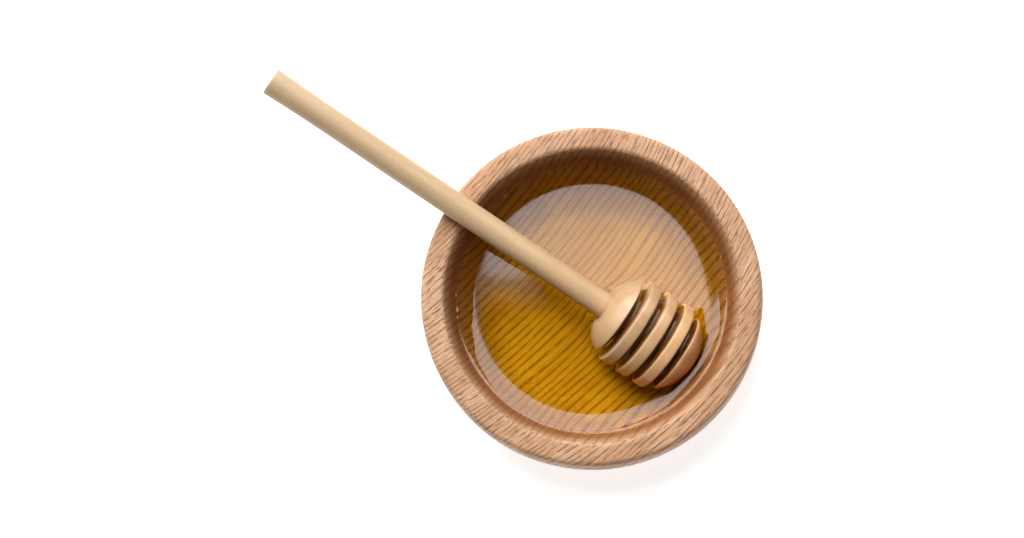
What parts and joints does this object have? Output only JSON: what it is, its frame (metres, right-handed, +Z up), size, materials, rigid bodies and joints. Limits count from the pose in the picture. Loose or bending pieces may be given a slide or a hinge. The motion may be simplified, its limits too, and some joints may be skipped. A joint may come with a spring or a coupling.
{
  "type": "wooden bowl of honey with honey dipper",
  "caption": "Small turned wooden bowl filled with clear amber honey, with a grooved wooden honey dipper lying in it, its handle out over the rim.",
  "frame": {"origin": "centre of the bowl's foot, on the surface it stands on", "axes": "+Z up; the dipper lies along X, with its handle leaving over the rim towards -X and its head near the wall on the +X side"},
  "size_m": [0.1698, 0.1066, 0.0606],
  "materials": {
    "bowl_wood": "fine-sanded open-pored wood, pinkish light brown with dark pores",
    "honey": "clear golden honey with a wet, glossy surface",
    "dipper_wood": "plain pale wood, dry on the handle and wet with honey on the head"
  },
  "bodies": {
    "root": {"bowl": "bowl_wood", "honey": "honey", "dipper": "dipper_wood"}
  },
  "joints": []
}
